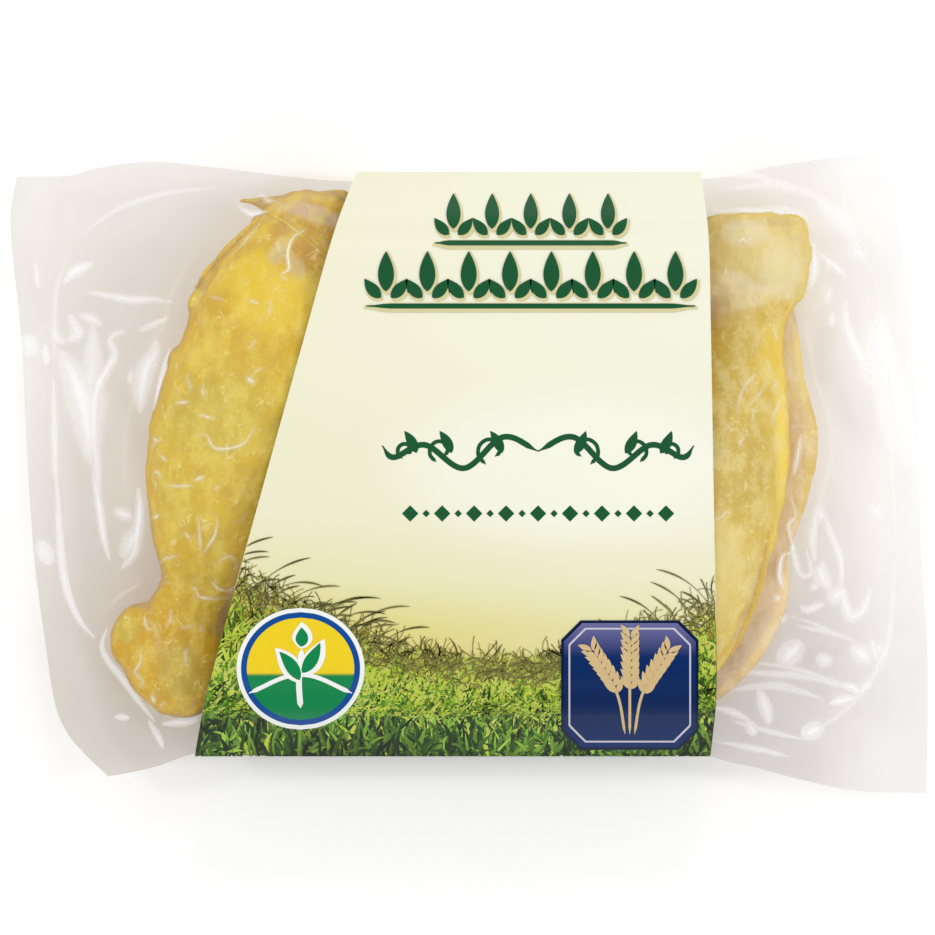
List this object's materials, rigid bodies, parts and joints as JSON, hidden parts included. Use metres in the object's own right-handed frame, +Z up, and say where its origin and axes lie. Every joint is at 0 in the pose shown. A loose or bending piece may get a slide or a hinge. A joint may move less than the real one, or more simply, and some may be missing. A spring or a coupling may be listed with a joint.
{
  "type": "vacuum pack of raw chicken drumsticks",
  "caption": "Clear vacuum pack of raw chicken drumsticks lying flat, with a slanted printed card sleeve folded round its middle.",
  "frame": {"origin": "on the surface that the pack lies on, under the middle of its bounding box", "axes": "+X along the length, to the reader's right of the printed side; +Y to the top of the print; +Z up, out of the printed side"},
  "size_m": [0.2372, 0.1649, 0.0436],
  "materials": {
    "film_and_meat": "clear glossy film drawn tight over yellow chicken skin",
    "printed_card": "coated card in pale ivory print"
  },
  "bodies": {
    "root": {"pouch": "film_and_meat", "sleeve": "printed_card"}
  },
  "joints": []
}
